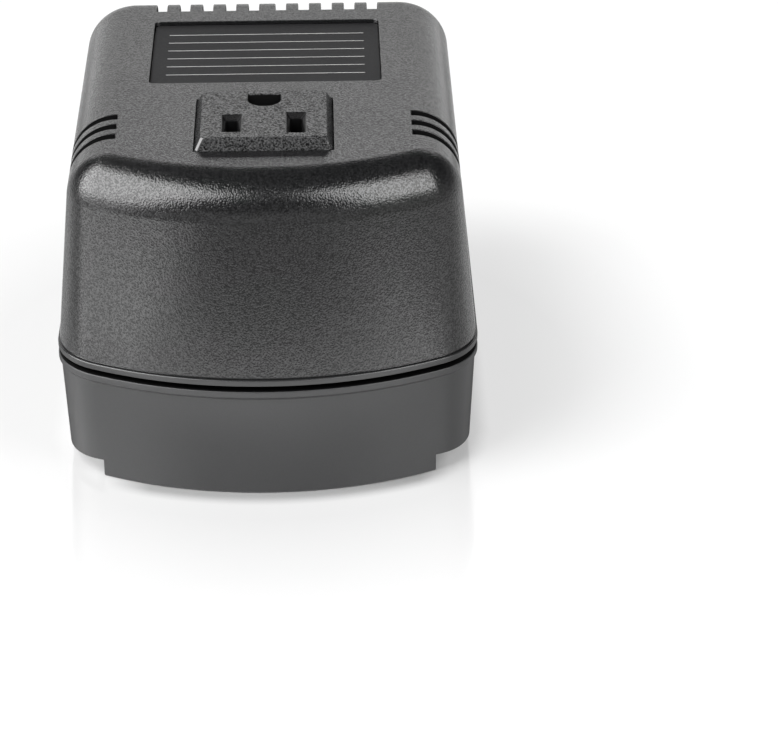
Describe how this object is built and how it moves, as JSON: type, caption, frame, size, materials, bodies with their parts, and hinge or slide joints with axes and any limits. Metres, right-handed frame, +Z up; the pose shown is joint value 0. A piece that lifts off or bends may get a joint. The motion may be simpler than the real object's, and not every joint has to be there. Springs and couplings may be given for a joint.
{
  "type": "travel voltage converter",
  "caption": "Dark grey plastic case with a bowed front, vent slots, a bare label recess and a raised earthed output socket on top; a mains transformer inside changes the voltage.",
  "frame": {"origin": "on the table, under the middle of the case", "axes": "+Z up, the bowed front and its socket face -Y, the cord gland faces +Y"},
  "size_m": [0.084, 0.11, 0.0685],
  "materials": {
    "shell": "fine spark-eroded grain on the cover, satin base",
    "socket": "coarse moulded grain",
    "label": "smooth satin film",
    "gland": "matt moulded rubber",
    "nylon": "natural, slightly waxy",
    "black_nylon": "black, slightly waxy",
    "brass": "rolled strip",
    "copper": "enamelled wire",
    "core_steel": "varnished laminations",
    "zinc": "bright zinc plate",
    "tape": "polyester tape",
    "brown_wire": "extruded insulation",
    "blue_wire": "extruded insulation",
    "black_wire": "extruded insulation",
    "white_wire": "extruded insulation",
    "earth_wire": "extruded insulation"
  },
  "bodies": {
    "root": {"base_shell": "shell", "top_cover": "shell", "case_screws": "zinc", "rating_plate": "label", "cord_gland": "gland", "socket_face": "socket", "contact_carrier": "black_nylon", "line_contact": "brass", "neutral_contact": "brass", "earth_contact": "brass", "carrier_screws": "zinc", "core_e_stack": "core_steel", "core_i_stack": "core_steel", "bobbin": "nylon", "primary_winding": "copper", "secondary_winding": "copper", "winding_tape": "tape", "front_bracket": "zinc", "rear_bracket": "zinc", "core_bolts": "zinc", "core_nuts": "zinc", "core_washers": "zinc", "bracket_screws": "zinc", "terminal_block": "nylon", "terminal_sleeves": "brass", "terminal_screws": "zinc", "block_screws": "zinc", "thermal_fuse": "zinc", "primary_line_wire": "brown_wire", "primary_neutral_wire": "blue_wire", "secondary_line_wire": "black_wire", "secondary_neutral_wire": "white_wire", "earth_wire": "earth_wire"}
  },
  "joints": []
}
